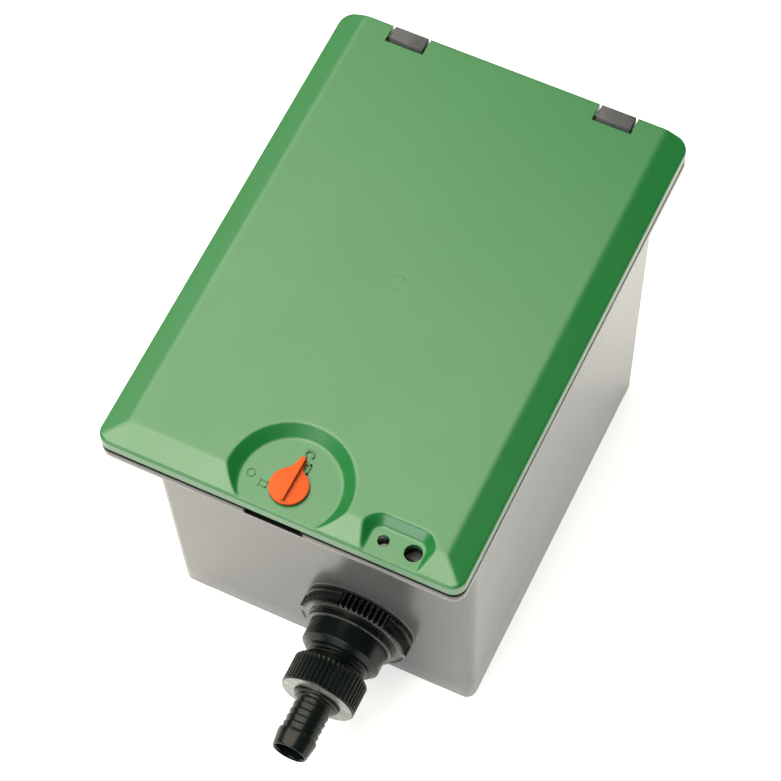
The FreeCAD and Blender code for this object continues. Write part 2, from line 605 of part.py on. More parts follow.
def make_bonnet():
    x, y, top, seat = dim.pipe_place, dim.valve_place, dim.body_top, dim.seat_top
    at = (x, y, 0.0)
    rubber = turned([
        (0.0, seat), (13.0, seat), (13.5, seat + 1.6), (21.0, top - 2.4), (27.9, top - 0.4), (27.9, top),
        (30.0, top), (30.0, top + 2.4), (26.0, top + 2.4), (20.0, top), (13.2, seat + 3.4), (0.0, seat + 3.4)], at)
    node(rubber, "diaphragm")
    node(turned([(0.0, seat + 3.5), (11.0, seat + 3.5), (11.0, seat + 6.0), (4.0, seat + 6.0),
                 (4.0, seat + 10.0), (0.0, seat + 10.0)], at), "diaphragm_plate")
    node(coil(7.0, 0.7, seat + 6.1, dim.bonnet_top - 4.2, 5, x, y), "diaphragm_spring")

    low = top + 2.4
    dome = turned([(27.0, low), (30.2, low), (30.2, top), (dim.bowl_outer, top), (dim.bowl_outer, low + 4.0),
                   (31.0, low + 5.0), (26.0, dim.bonnet_top), (0.0, dim.bonnet_top),
                   (0.0, dim.bonnet_top - 4.0), (23.5, dim.bonnet_top - 4.0)], at)
    pilot_y = y + dim.solenoid_offset
    boss = rod(11.0, dim.bonnet_top - 1.0, dim.bonnet_top + 4.0, x, pilot_y)
    socket = rod(7.0, dim.bonnet_top, dim.bonnet_top + 5.0, x, pilot_y)
    pilot = rod(1.2, dim.bonnet_top - 5.0, dim.bonnet_top + 1.0, x, pilot_y)
    pivot = rod(5.0, dim.bonnet_top - 1.0, dim.bonnet_top + 2.0, x, y - 14.0)
    vent = rod(2.0, dim.bonnet_top - 2.0, dim.bonnet_top + 3.0, x, y - 14.0)
    holes = [rod(1.7, top - 1.0, low + 8.0, *spot) for spot in screw_spots()]
    recesses = [rod(3.2, low + 4.0, low + 9.0, *spot) for spot in screw_spots()]
    node(cut(fuse(dome, boss, pivot), socket, pilot, vent, *holes, *recesses), "bonnet")
    screws = [fuse(rod(1.4, top - 10.0, low + 4.5, *spot), rod(2.9, low + 4.0, low + 7.0, *spot))
              for spot in screw_spots()]
    node(group(*screws), "bonnet_screws")

    hub = rod(5.5, dim.bonnet_top + 2.2, dim.bonnet_top + 6.0, x, y - 14.0)
    arm = box((x - 2.4, x + 2.4), (y - 36.0, y - 14.0), (dim.bonnet_top + 2.8, dim.bonnet_top + 5.4))
    pin = rod(1.92, dim.bonnet_top - 1.8, dim.bonnet_top + 3.0, x, y - 14.0)
    node(fuse(hub, arm, pin), "bleed_lever")


def make_solenoid():
    x, y, floor = dim.pipe_place, dim.valve_place + dim.solenoid_offset, dim.bonnet_top
    at = (x, y, floor)
    node(turned([(4.6, 0.0), (7.0, 0.0), (7.0, 4.0), (5.6, 4.0), (5.6, 38.0), (0.0, 38.0), (0.0, 33.0),
                 (4.6, 33.0)], at), "core_tube")
    node(turned([(5.7, 4.2), (15.0, 4.2), (15.6, 6.0), (15.6, 40.0), (14.0, 42.0), (0.0, 42.0),
                 (0.0, 38.1), (12.4, 38.1), (12.4, 8.0), (5.7, 8.0)], at), "solenoid_housing")
    node(turned(tube(5.8, 12.2, 8.4, 37.6), at), "solenoid_coil")
    node(turned([(0.0, 1.8), (4.52, 1.8), (4.52, 24.0), (2.4, 24.0), (2.4, 20.0), (0.0, 20.0)], at), "plunger")
    node(turned([(0.0, 0.2), (2.6, 0.2), (3.2, 1.8), (0.0, 1.8)], at), "plunger_seal")
    node(coil(1.7, 0.3, floor + 20.1, floor + 32.9, 7, x, y), "plunger_spring")


# ---------------------------------------------------------------- control module

def make_module():
    left, right, half = -dim.module_left, -dim.module_right, dim.module_half
    low, top, wall = dim.module_low, dim.module_top, dim.module_wall
    back, face, reach = -dim.bracket_back, -dim.bracket_face, dim.bracket_half
    rows = (-dim.rail_place, dim.rail_place)
    back_plate = box((back, face), (-reach, reach), (low - 3.0, top - 5.0))
    shelf = box((back, right), (-reach, reach), (low - 3.0, low))
    stops = [box((face, left), (y - 3.0, y + 3.0), (low + 5.0, top - 20.0)) for y in (3.0 - reach, reach - 3.0)]
    holes = [rod(1.7, back - 1.0, face + 1.0, y, dim.rail_screw_height, "+X") for y in rows]
    node(cut(fuse(back_plate, shelf, *stops), *holes), "module_bracket")
    node(group(*(fuse(rod(1.5, back - 3.5, face + 0.1, y, dim.rail_screw_height, "+X"),
                      rod(2.8, face, face + 1.8, y, dim.rail_screw_height, "+X")) for y in rows)), "bracket_screws")

    shell = box((left, right), (-half, half), (low, top))
    hollow = box((left + wall, right - wall), (wall - half, half - wall), (low + wall, top + 1.0))
    posts = [rod(3.2, low + 1.0, top, *spot) for spot in post_spots()]
    taps = [rod(1.2, top - 12.0, top + 1.0, *spot) for spot in post_spots()]
    entry = rod(3.0, right - wall - 1.0, right + 1.0, dim.cable_place, dim.cable_height, "+X")
    cap_x, cap_y = -dim.cap_x, -dim.cap_y
    battery_low = top - 48.8
    rests = [box((cap_x - 8.0, cap_x + 8.0), (cap_y + shift - 1.0, cap_y + shift + 1.0), (low + 1.0, battery_low))
             for shift in (-9.0, 9.0)]
    node(cut(fuse(cut(shell, hollow), *posts, *rests), *taps, entry), "module_housing")

    seal = cut(box((left, right), (-half, half), (top, top + 1.2)),
               box((left + 2.0, right - 2.0), (2.0 - half, half - 2.0), (top - 1.0, top + 2.0)))
    node(seal, "module_seal")
    make_module_cover(top + 1.2, top + 4.2)

    node(box((cap_x - 8.75, cap_x + 8.75), (cap_y - 13.25, cap_y + 13.25),
             (battery_low, battery_low + 48.5)), "battery")
    node(group(*(rod(2.8, battery_low + 48.5, battery_low + 51.0, cap_x, cap_y + d) for d in (-6.3, 6.3))),
         "battery_contacts")
    make_battery_cap(top + 4.2)
    gland = turned([(2.25, -wall), (2.95, -wall), (2.95, 0.0), (5.2, 0.0), (5.2, 4.0), (3.8, 7.0), (2.25, 7.0)],
                   (right, dim.cable_place, dim.cable_height), "+X")
    node(gland, "cable_gland")


def window_block(spread, low, high):
    """A block the size of the display window, grown by a spread on every side."""
    return box((-dim.window_left - spread, -dim.window_right + spread),
               (dim.window_front - spread, dim.window_back + spread), (low, high))


def make_module_cover(deck, deck_top):
    """The cover with its screws, window, display, board and buttons."""
    left, right, half = -dim.module_left, -dim.module_right, dim.module_half
    cover = box((left, right), (-half, half), (deck, deck_top))
    collar = rod(dim.cap_radius, deck_top - 1.0, deck_top + 3.0, -dim.cap_x, -dim.cap_y)
    mouth = rod(dim.cap_mouth, deck - 1.0, deck_top + 4.0, -dim.cap_x, -dim.cap_y)
    window = window_block(0.0, deck - 1.0, deck_top + 1.0)
    keys = [rod(dim.key_radius + 0.15, deck - 1.0, deck_top + 1.0, -dim.key_row, y) for y in KEY_PLACES.values()]
    bores = [rod(1.4, deck - 1.0, deck_top + 1.0, *spot) for spot in post_spots()]
    node(cut(fuse(cover, collar), mouth, window, *keys, *bores), "module_cover")
    screws = [fuse(rod(1.2, deck - 9.2, deck_top + 0.2, *spot), rod(2.3, deck_top, deck_top + 1.6, *spot))
              for spot in post_spots()]
    node(group(*screws), "cover_screws")
    lens = window_block(-0.05, deck - 0.2, deck_top - 0.4)
    flange = window_block(1.5, deck - 0.9, deck)
    node(fuse(lens, flange), "display_window")
    node(window_block(0.5, deck - 3.4, deck - 1.1), "display")
    board = box((-72.0, -33.0), (-3.0, 41.0), (deck - 5.2, deck - 3.6))
    gaps = [rod(3.6, deck - 6.0, deck - 3.0, *spot) for spot in post_spots()]
    node(cut(board, *gaps), "circuit_board")
    for name, y in KEY_PLACES.items():
        button = fuse(rod(dim.key_radius, deck - 1.0, deck_top + 1.6, -dim.key_row, y),
                      rod(4.2, deck - 1.8, deck - 0.6, -dim.key_row, y))
        node(button, name)


def make_battery_cap(deck_top):
    """The quarter-turn battery cap and the ring that seals it."""
    x, y, outer = -dim.cap_x, -dim.cap_y, dim.cap_radius
    rim_top = deck_top + 3.0
    disc = turned([(0.0, rim_top + 0.1), (outer, rim_top + 0.1), (outer, rim_top + 4.0),
                   (outer - 1.0, rim_top + 5.0), (0.0, rim_top + 5.0)], (x, y, 0.0))
    grip = box((x - 1.8, x + 1.8), (y - 14.0, y + 14.0), (rim_top + 4.0, rim_top + 9.0))
    plug = rod(dim.cap_mouth - 0.08, deck_top - 2.0, rim_top + 1.0, x, y)
    groove = cut(rod(17.0, deck_top + 0.4, deck_top + 2.2, x, y), rod(15.2, deck_top, deck_top + 3.0, x, y))
    node(cut(fuse(disc, grip, plug), groove), "battery_cap")
    node(turned(tube(15.25, dim.cap_mouth - 0.04, deck_top + 0.5, deck_top + 2.1), (x, y, 0.0)), "battery_cap_seal")


KEY_PLACES = {"button_minus": 5.0, "button_enter": 17.0, "button_plus": 29.0}


def post_spots():
    """Where the module cover's four screws stand."""
    return [(x, y) for x in (-70.5, -34.0) for y in (-41.0, 41.0)]


def make_cable():
    """The two-core lead from the module's gland to the solenoid's side, in tangent arcs."""
    radius, height = dim.cable_radius.value, dim.cable_height.value
    start = -dim.module_right.value - 1.0
    end = dim.pipe_place.value - 15.6
    side = dim.valve_place.value + dim.solenoid_offset.value
    points = [Vector(start, side, height), Vector(start + 14.0, side, height),
              Vector(start + 25.0, side, height + 9.0), Vector(end, side, height + 9.0)]
    edges = []
    previous = points[0]
    for before, corner, after in zip(points, points[1:], points[2:]):
        inward, outward = (corner - before), (after - corner)
        reach = 0.45 * min(inward.Length, outward.Length)
        inward.normalize()
        outward.normalize()
        half_turn = inward.getAngle(outward) / 2
        arc_start, arc_end = corner - inward * reach, corner + outward * reach
        arc_radius = reach / math.tan(half_turn)
        bisector = outward - inward
        bisector.normalize()
        middle = corner + bisector * (arc_radius / math.cos(half_turn) - arc_radius)
        edges.append(Part.LineSegment(previous, arc_start).toShape())
        edges.append(Part.Arc(arc_start, middle, arc_end).toShape())
        print("cable bend radius", round(arc_radius, 1))
        previous = arc_end
    edges.append(Part.LineSegment(previous, points[-1]).toShape())
    path = Part.Wire(edges)
    section = Part.Wire(Part.makeCircle(radius, points[0], Vector(1, 0, 0)))
    item = doc.addObject("Part::Feature", "Cable")
    item.Shape = path.makePipeShell([section], True, True)
    print("cable volume ratio", item.Shape.Volume / (path.Length * math.pi * radius ** 2))
    node(item, "solenoid_cable")


def check_and_export():
    """Stop on any failed object or shape, then write one file for each sub-part."""
    doc.recompute()
    for item in doc.Objects:
        if any(state in ("Invalid", "Error") for state in item.State):
            raise RuntimeError(f"{item.Name} {item.Label} failed: {item.State}")
    os.makedirs("parts", exist_ok=True)
    for item in NODES:
        if item.Shape.isNull() or not item.Shape.isValid():
            raise RuntimeError(f"{item.Label} has no valid shape")
        item.Shape.exportStep(f"parts/{item.Label}.step")
        print(item.Label, len(item.Shape.Solids), round(item.Shape.Volume))


make_tub()
make_rim_seal()
make_lid()
make_hinges()
make_lock()
make_outlet()
make_inlet()
make_valve()
make_bonnet()
make_solenoid()
make_module()
make_cable()
check_and_export()
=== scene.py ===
"""Looks for the irrigation controller box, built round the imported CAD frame. Lengths here are mm."""

import json
import math

import bmesh
import bpy
import numpy as np
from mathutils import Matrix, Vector


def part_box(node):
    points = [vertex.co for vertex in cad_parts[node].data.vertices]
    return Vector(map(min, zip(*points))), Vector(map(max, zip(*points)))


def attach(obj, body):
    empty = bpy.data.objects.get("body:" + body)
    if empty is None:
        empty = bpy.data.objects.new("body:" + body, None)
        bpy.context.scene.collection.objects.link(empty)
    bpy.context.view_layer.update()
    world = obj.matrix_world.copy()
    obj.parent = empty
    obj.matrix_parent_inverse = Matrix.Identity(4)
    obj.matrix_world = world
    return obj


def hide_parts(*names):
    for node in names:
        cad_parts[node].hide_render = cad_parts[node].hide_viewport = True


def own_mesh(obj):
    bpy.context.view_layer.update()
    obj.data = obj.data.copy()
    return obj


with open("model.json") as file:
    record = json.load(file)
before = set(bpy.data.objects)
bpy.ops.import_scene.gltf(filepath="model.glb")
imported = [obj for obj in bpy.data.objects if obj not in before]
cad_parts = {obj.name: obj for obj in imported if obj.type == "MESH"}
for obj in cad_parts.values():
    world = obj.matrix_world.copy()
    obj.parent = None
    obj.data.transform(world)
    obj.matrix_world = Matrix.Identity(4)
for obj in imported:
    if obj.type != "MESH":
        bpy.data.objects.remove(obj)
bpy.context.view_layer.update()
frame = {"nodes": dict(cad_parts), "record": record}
MM = 0.001


def span(node):
    """A node's lowest and highest corners in mm."""
    low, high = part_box(node)
    return [v / MM for v in low], [v / MM for v in high]


# Places read from the CAD frame.
LID_LOW, LID_HIGH = span("lid")
TUB_HIGH = span("tub")[1]
KNOB_LOW, KNOB_HIGH = span("lock_knob")
NUT_LOW, NUT_HIGH = span("hose_nut")
HALF_X = LID_HIGH[0]
HALF_Y = LID_HIGH[1]
LID_TOP = LID_HIGH[2]
BEVEL_DROP = 5.0
BEVEL_RUN = 13.0
LIP_TOP = LID_TOP - BEVEL_DROP
RIM_TOP = TUB_HIGH[2]
RIM_THICK = 5.5
PIPE_X = (NUT_LOW[0] + NUT_HIGH[0]) / 2
PIPE_Z = (NUT_LOW[2] + NUT_HIGH[2]) / 2
WALL_FACE = 104.0
KNOB_Y = -118.5
BOWL_Y = -117.7
CORNER_FRONT = 7.0
CORNER_BACK = 7.0
HINGE_X = 56.6
NOTCH_HALF = 10.45
NOTCH_Y = 123.2


# ---------------------------------------------------------------- materials

class Nodes:
    """A short way to build one node material."""

    def __init__(self, name):
        self.material = bpy.data.materials.new(name)
        self.material.use_nodes = True
        self.tree = self.material.node_tree
        self.shader = self.tree.nodes["Principled BSDF"]

    def add(self, kind, inputs=None, **settings):
        item = self.tree.nodes.new(kind)
        for key, value in settings.items():
            setattr(item, key, value)
        for key, value in (inputs or {}).items():
            if isinstance(value, bpy.types.NodeSocket):
                self.tree.links.new(value, item.inputs[key])
            else:
                item.inputs[key].default_value = value
        return item

    def noise(self, scale, detail=4.0, roughness=0.5, stretch=None):
        place = self.add("ShaderNodeTexCoord").outputs["Object"]
        if stretch:
            place = self.add("ShaderNodeMapping", {"Vector": place, "Scale": stretch}).outputs[0]
        inputs = {"Vector": place, "Scale": scale, "Detail": detail, "Roughness": roughness}
        return self.add("ShaderNodeTexNoise", inputs).outputs[0]

    def ramp(self, factor, low, high, start, end):
        """A colour or grey that goes from low to high as the factor goes from start to end."""
        item = self.add("ShaderNodeValToRGB", {"Fac": factor})
        for stop, place, colour in zip(item.color_ramp.elements, (start, end), (low, high)):
            stop.position = place
            stop.color = (*colour, 1.0) if isinstance(colour, tuple) else (colour, colour, colour, 1.0)
        return item.outputs["Color"]

    def mix(self, factor, first, second, blend="MIX"):
        item = self.add("ShaderNodeMix", data_type="RGBA", blend_type=blend)
        for index, value in ((0, factor), (6, first), (7, second)):
            if isinstance(value, bpy.types.NodeSocket):
                self.tree.links.new(value, item.inputs[index])
            elif isinstance(value, tuple):
                item.inputs[index].default_value = (*value, 1.0)
            else:
                item.inputs[index].default_value = value
        return item.outputs[2]

    def link(self, output, socket):
        self.tree.links.new(output, self.shader.inputs[socket])


def shade(colour, factor):
    """A lighter or darker version of a colour."""
    return tuple(min(1.0, c * factor) for c in colour)


def plastic(name, colour, rough=0.45, grain=900.0, bump=0.12, vary=0.12, wear_and_highlight=0.25, edge=0.0004,
            gloss=0.5, metallic=0.0, ends=0.0, patchy=1.0):
    """Moulded plastic, rubber or metal: uneven colour, fine grain, and lighter edges that stand for wear and, on the
    turned fittings, for painted highlights.
    """
    n = Nodes(name)
    broad = n.noise(14.0, 5.0, 0.55)
    tone = n.ramp(broad, shade(colour, 1 - vary), shade(colour, 1 + vary), 0.3, 0.7)
    fine = n.noise(grain, 3.0, 0.6)
    tone = n.mix(0.25, tone, n.ramp(fine, shade(colour, 0.8), shade(colour, 1.2), 0.35, 0.65))
    # Lighter edges from pointiness: wear on most finishes, painted highlights on the turned fittings, where the amount
    # is raised.
    ridge = n.ramp(n.add("ShaderNodeNewGeometry").outputs["Pointiness"], 0.0, 1.0, 0.51, 0.56)
    worn_and_highlit_edges = n.mix(1.0, ridge, n.ramp(n.noise(60.0, 4.0, 0.6), 0.0, wear_and_highlight, 0.4, 0.65), "MULTIPLY")
    tone = n.mix(worn_and_highlit_edges, tone, shade(tuple(c + 0.05 for c in colour), 1.5))
    # Painted reflection: faces that look to the front are painted a paler grey, broken up by noise, for the bright
    # floor and front light they mirror.
    if ends:
        facing = n.add("ShaderNodeSeparateXYZ", {"Vector": n.add("ShaderNodeNewGeometry").outputs["Normal"]})
        front = n.add("ShaderNodeMath", {0: facing.outputs["Y"], 1: -1.0}, operation="MULTIPLY").outputs[0]
        n.link(n.ramp(front, gloss, ends, 0.90, 0.99), "Specular IOR Level")
        sheen_speckle = n.ramp(n.noise(220.0, 5.0, 0.6), 0.35, 1.0, 0.35, 0.6)
        tone = n.mix(n.mix(1.0, n.ramp(front, 0.0, ends, 0.93, 0.99), sheen_speckle, "MULTIPLY"), tone, (0.20, 0.205, 0.20))
    n.link(tone, "Base Color")
    n.link(n.ramp(n.noise(35.0, 6.0, 0.6), rough - 0.07 * patchy, rough + 0.09 * patchy, 0.3, 0.7), "Roughness")
    rounded = n.add("ShaderNodeBevel", {"Radius": edge}, samples=4)
    grainy = n.add("ShaderNodeBump", {"Height": fine, "Strength": bump, "Distance": 0.0002,
                                      "Normal": rounded.outputs[0]})
    n.link(grainy.outputs[0], "Normal")
    n.shader.inputs["Specular IOR Level"].default_value = gloss
    n.shader.inputs["Metallic"].default_value = metallic
    return n.material


def clear(name):
    """A scratched clear window."""
    n = Nodes(name)
    n.link(n.ramp(n.noise(120.0, 5.0, 0.6), 0.03, 0.16, 0.45, 0.7), "Roughness")
    n.link(n.ramp(n.noise(20.0), (0.86, 0.92, 0.90), (0.94, 0.97, 0.96), 0.3, 0.7), "Base Color")
    n.shader.inputs["Transmission Weight"].default_value = 0.92
    n.shader.inputs["IOR"].default_value = 1.49
    return n.material


def floor_finish():
    """A pale studio floor with a trace of unevenness; it glows, more strongly towards the right, as painted light that
    washes out the box's shadow there.
    """
    n = Nodes("studio_floor")
    n.link(n.ramp(n.noise(3.0, 3.0, 0.5), 0.88, 0.90, 0.3, 0.7), "Base Color")
    n.link(n.ramp(n.noise(9.0, 3.0, 0.5), 0.75, 0.85, 0.3, 0.7), "Roughness")
    n.link(n.ramp(n.noise(2.0, 3.0, 0.5), (1.0, 0.99, 0.97), (0.99, 1.0, 0.98), 0.3, 0.7), "Emission Color")
    # Painted light: the glow rises from left to right so that the floor stays white where the box would cast its
    # shadow.
    along = n.add("ShaderNodeSeparateXYZ", {"Vector": n.add("ShaderNodeTexCoord").outputs["Object"]})
    glow = n.add("ShaderNodeMapRange", {"Value": along.outputs["X"], "From Min": 0.0, "From Max": 0.35,
                                        "To Min": FLOOR_GLOW, "To Max": FLOOR_GLOW_RIGHT})
    n.link(glow.outputs[0], "Emission Strength")
    return n.material


GREEN = (0.006, 0.116, 0.025)
BLACK = (0.0035, 0.0062, 0.0054)
FINISH = {
    "tub_grey": plastic("tub_grey", (0.076, 0.077, 0.079), 0.25, 900.0, 0.008, 0.02, 0.0, gloss=0.42, patchy=0.12),
    "lid_green": plastic("lid_green", GREEN, 0.35, 1500.0, 0.24, 0.04, 0.04, gloss=0.6, patchy=0.3),
    "hinge_grey": plastic("hinge_grey", (0.026, 0.029, 0.034), 0.42, 800.0, 0.14, 0.08),
    "knob_orange": plastic("knob_orange", (0.48, 0.076, 0.017), 0.60, 1500.0, 0.35, 0.10, 0.04, gloss=0.06),
    "black_plastic": plastic("black_plastic", BLACK, 0.26, 500.0, 0.06, 0.25, 0.05, gloss=0.18),
    # Black rubber also makes the rim seal under the lid and its lining of the finger notch; both are partly real parts
    # and partly a dark sheet standing in for the shade in the gap and the notch.
    "black_rubber": plastic("black_rubber", (0.004, 0.0045, 0.0045), 0.80, 1100.0, 0.35, 0.2, 0.04, gloss=0.05),
    "steel": plastic("steel", (0.52, 0.52, 0.53), 0.28, 1500.0, 0.10, 0.06, 0.2, metallic=1.0),
    "copper_coil": plastic("copper_coil", (0.50, 0.17, 0.05), 0.32, 300.0, 0.5, 0.15, 0.2, metallic=0.9),
    "valve_plastic": plastic("valve_plastic", (0.022, 0.023, 0.026), 0.44, 600.0, 0.25, 0.2, 0.25),
    "white_plastic": plastic("white_plastic", (0.66, 0.65, 0.62), 0.40, 700.0, 0.12, 0.05, 0.1),
    "module_grey": plastic("module_grey", (0.060, 0.065, 0.070), 0.46, 520.0, 0.3, 0.12, 0.25),
    "board_green": plastic("board_green", (0.010, 0.110, 0.040), 0.30, 400.0, 0.2, 0.2, 0.0),
    "display_grey": plastic("display_grey", (0.230, 0.270, 0.210), 0.18, 300.0, 0.02, 0.05, 0.0),
    "clear_window": clear("clear_window"),
    "button_green": plastic("button_green", (0.040, 0.200, 0.050), 0.55, 900.0, 0.25, 0.1, 0.2),
    "battery_case": plastic("battery_case", (0.030, 0.030, 0.045), 0.30, 700.0, 0.08, 0.1, 0.3),
    "cable_black": plastic("cable_black", (0.012, 0.012, 0.012), 0.50, 1200.0, 0.2, 0.15, 0.1),
}


# ---------------------------------------------------------------- mesh helpers

def build(name, points, faces, body, slot, replaces=(), crease=38.0, finish=None):
    """A piece from points in mm: it rides on a body and may stand for CAD nodes."""
    mesh = bpy.data.meshes.new(name)
    mesh.from_pydata([tuple(c * MM for c in p) for p in points], [], faces)
    bm = bmesh.new()
    bm.from_mesh(mesh)
    bmesh.ops.remove_doubles(bm, verts=bm.verts, dist=1e-7)
    bmesh.ops.dissolve_degenerate(bm, edges=bm.edges, dist=1e-7)
    bmesh.ops.recalc_face_normals(bm, faces=bm.faces)
    for face in bm.faces:
        face.smooth = True
    limit = math.radians(crease)
    for edge in bm.edges:
        edge.smooth = len(edge.link_faces) == 2 and edge.calc_face_angle(0.0) < limit
    bm.to_mesh(mesh)
    bm.free()
    piece = bpy.data.objects.new(name, mesh)
    bpy.context.scene.collection.objects.link(piece)
    mesh.materials.append(finish or FINISH[slot])
    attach(piece, body)
    if replaces:
        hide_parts(*replaces)
    return piece


def soften(profile, radius, steps=3):
    """Round each corner of a closed profile with a small arc."""
    rounded = []
    count = len(profile)
    for i, corner in enumerate(profile):
        corner = Vector(corner)
        before = Vector(profile[i - 1]) - corner
        after = Vector(profile[(i + 1) % count]) - corner
        turn = before.angle(after, math.pi)
        if turn > math.radians(165):
            rounded.append(tuple(corner))
            continue
        reach = min(radius / math.tan(turn / 2), 0.45 * before.length, 0.45 * after.length)
        start = corner + before.normalized() * reach
        end = corner + after.normalized() * reach
        for step in range(steps + 1):
            part = step / steps
            curve = start.lerp(corner, part).lerp(corner.lerp(end, part), part)
            rounded.append(tuple(curve))
    return rounded


def divide(profile, longest):
    """Add points so that no side of a closed profile is longer than a limit."""
    points = []
    for i, point in enumerate(profile):
        start, end = Vector(point), Vector(profile[(i + 1) % len(profile)])
        count = max(1, math.ceil((end - start).length / longest))
        points += [tuple(start.lerp(end, k / count)) for k in range(count)]
    return points


def lathe(profile, count, place, change=None):
    """Turn a closed profile of (radius, distance) round an axis; change may alter each radius."""
    points, faces = [], []
    size = len(profile)
    for i in range(count):
        angle = 2 * math.pi * i / count
        for radius, distance in profile:
            if change:
                radius = change(radius, distance, angle)
            points.append(place(radius, distance, angle))
    for i in range(count):
        for k in range(size):
            a, b = i * size + k, i * size + (k + 1) % size
            c, d = (i + 1) % count * size + (k + 1) % size, (i + 1) % count * size + k
            faces.append((a, b, c, d))
    return points, faces


def on_pipe(radius, distance, angle):
    """A point on the pipe line, in front of the box."""
    return PIPE_X + radius * math.cos(angle), -distance, PIPE_Z + radius * math.sin(angle)


def behind(radius, distance, angle):
    """A point on the pipe line, behind the box."""
    return PIPE_X + radius * math.cos(angle), distance, PIPE_Z + radius * math.sin(angle)


def upright(x, y):
    """A placing function for pieces turned about a vertical axis."""
    def put(radius, height, angle):
        return x + radius * math.cos(angle), y + radius * math.sin(angle), height
    return put


def trapezoid(phase, flat):
    """A repeating wave from 0 to 1 with flat tops and bottoms and sloped sides."""
    swing = abs((phase % 1.0) * 2 - 1)
    return min(1.0, max(0.0, (swing - 0.5) / (1 - flat) + 0.5))


def prism(outline, low, high, radius, place):
    """A plate with a rounded top edge from an outline; place maps (u, v, height)."""
    levels = [(low, 0.0), (high - radius, 0.0), (high - radius * 0.4, radius * 0.2), (high, radius)]
    points, faces = [], []
    size = len(outline)
    for height, inset in levels:
        points += [place(u, v, height) for u, v in inset_outline(outline, inset)]
    for level in range(len(levels) - 1):
        for k in range(size):
            a, b = level * size + k, level * size + (k + 1) % size
            faces.append((a, b, b + size, a + size))
    faces.append(tuple(range(size)))
    faces.append(tuple(range((len(levels) - 1) * size, len(levels) * size)))
    return points, faces


def inset_outline(outline, inset):
    """Move a counter-clockwise outline inwards by a small distance."""
    moved = []
    count = len(outline)
    for i in range(count):
        before, here, after = (Vector(outline[(i + k) % count]) for k in (-1, 0, 1))
        first, second = (here - before).normalized(), (after - here).normalized()
        normal = Vector((-first.y - second.y, first.x + second.x)).normalized()
        stretch = max(0.5, math.sqrt(max(0.0, (1 + first.dot(second)) / 2)))
        moved.append(tuple(here + normal * inset / stretch))
    return moved


def rounded_plan(half_x, front, back, near, far, steps=8):
    """A counter-clockwise rounded rectangle with its own front and back corner radii."""
    points = []
    corners = (
        (half_x - near, front + near, near, -90), (half_x - far, back - far, far, 0),
        (-half_x + far, back - far, far, 90), (-half_x + near, front + near, near, 180),
    )
    for x, y, radius, start in corners:
        for k in range(steps + 1):
            angle = math.radians(start + 90 * k / steps)
            points.append((x + radius * math.cos(angle), y + radius * math.sin(angle)))
    return points


# ---------------------------------------------------------------- lid

def smooth_min(a, b, width):
    """The lower of two heights, rounded where they cross."""
    share = np.clip(0.5 + 0.5 * (b - a) / width, 0, 1)
    return b * (1 - share) + a * share - width * share * (1 - share)


def smooth_max(a, b, width):
    return -smooth_min(-a, -b, width)


def edge_distance(x, y):
    """How far a point in plan is inside the lid's rounded outline."""
    radius = np.where(y < 0, CORNER_FRONT, CORNER_BACK)
    over_x = np.abs(x) - HALF_X + radius
    over_y = np.abs(y) - HALF_Y + radius
    outside = np.hypot(np.maximum(over_x, 0), np.maximum(over_y, 0))
    return radius - outside - np.minimum(np.maximum(over_x, over_y), 0)


TRAY_X, TRAY_HALF, TRAY_Y, TRAY_DRAFT, TRAY_ROUND = 58.1, 13.9, -118.0, 4.6, 5.0
BOWL_FLOOR, BOWL_RIM = 24.8, 31.2
HOLES = ((51.6, -124.5, 2.9), (66.8, -124.5, 4.4))
EDGE_ROUND = 1.1


def lid_height(x, y):
    """The lid's upper surface over a plan position."""
    slope = BEVEL_DROP / BEVEL_RUN
    side = LIP_TOP + (HALF_X - np.abs(x)) * slope
    front = LIP_TOP + (HALF_Y + y) * slope
    height = smooth_min(np.full_like(x, LID_TOP), smooth_min(side, front, 0.35), 0.5)
    reach = np.hypot(x, y - BOWL_Y)
    bowl = smooth_max(np.full_like(x, LIP_TOP), LIP_TOP + (reach - BOWL_FLOOR) * BEVEL_DROP
                      / (BOWL_RIM - BOWL_FLOOR), 0.7)
    steep = BEVEL_DROP / TRAY_DRAFT
    past_x = np.abs(x - TRAY_X) - TRAY_HALF + TRAY_ROUND
    past_y = y - TRAY_Y + TRAY_ROUND
    out = np.hypot(np.maximum(past_x, 0), np.maximum(past_y, 0)) + np.minimum(np.maximum(past_x, past_y), 0)
    tray = smooth_max(np.full_like(x, LIP_TOP), LIP_TOP + (out - TRAY_ROUND) * steep, 1.1)
    height = smooth_min(height, smooth_min(bowl, tray, 0.5), 0.6)
    gate = np.hypot(x, y)
    height = height - 0.06 * np.exp(-((gate - 4.0) / 0.5) ** 2)
    over = np.clip(EDGE_ROUND - edge_distance(x, y), 0, EDGE_ROUND)
    return height - EDGE_ROUND + np.sqrt(EDGE_ROUND ** 2 - over ** 2)


CELLS_X = ((-80.0, -1.3), (1.3, 80.0))
CELLS_Y = tuple((y, y + 47.5) for y in (-82.0, -31.8, 18.4, 68.6))


def lid_underside(x, y):
    """The lid's lower surface: a flat rim, a shallow hollow and ribbed cells."""
    height = np.full_like(x, LID_LOW[2])
    inside = (np.abs(x) < HALF_X - 7) & (y > 7 - HALF_Y) & (y < 119.0)
    height[inside] = LIP_TOP - 3.0
    for left, right in CELLS_X:
        for low, high in CELLS_Y:
            height[(x > left) & (x < right) & (y > low) & (y < high)] = LID_TOP - 3.0
    return height


def grid_lines(stretches, stops):
    """Grid positions from stretches of (start, end, step), with each stop met exactly."""
    edges = sorted({edge for start, end, _ in stretches for edge in (start, end)} | set(stops))
    lines = []
    for start, end in zip(edges, edges[1:]):
        middle = (start + end) / 2
        step = next(s for a, b, s in stretches if a <= middle <= b)
        count = max(1, math.ceil((end - start) / step))
        lines += [start + (end - start) * k / count for k in range(count)]
    return np.array(lines + [edges[-1]])


